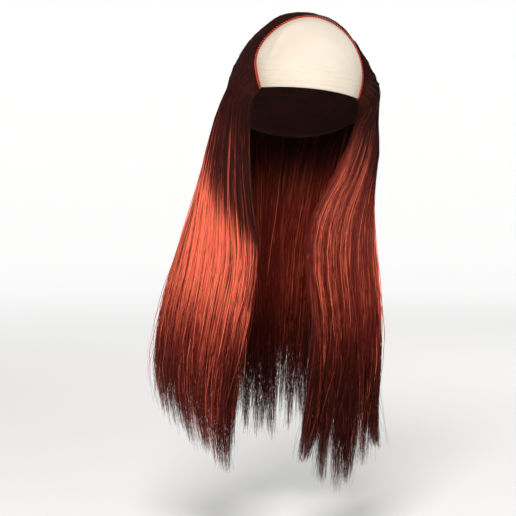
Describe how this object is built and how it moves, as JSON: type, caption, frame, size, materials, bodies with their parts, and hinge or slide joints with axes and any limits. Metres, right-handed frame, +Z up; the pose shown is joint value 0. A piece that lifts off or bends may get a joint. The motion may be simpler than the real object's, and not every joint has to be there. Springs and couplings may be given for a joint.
{
  "type": "clown wig",
  "caption": "Costume wig with a cream stretch-cloth bald panel over the brow and crown, a raised seam round it and long straight red hair.",
  "frame": {"origin": "top of the hollow that the head fills, where the wig sits on the crown", "axes": "+Z up as worn, -Y the way the wearer faces, +X to the right of a viewer who looks at the front; the head nods 9 degrees and leans 6 degrees"},
  "size_m": [0.2942, 0.2297, 0.6205],
  "materials": {
    "panel_cloth": "matt stretch cloth",
    "seam_thread": "matt overlocked thread",
    "cap_net": "matt elastic net",
    "hair": "silky synthetic fibre"
  },
  "bodies": {
    "root": {"bald_panel": "panel_cloth", "edge_seam": "seam_thread", "wig_cap": "cap_net", "left_front_tress": "hair", "left_side_tress": "hair", "right_front_tress": "hair", "right_side_tress": "hair", "left_back_hair": "hair", "right_back_hair": "hair"}
  },
  "joints": []
}
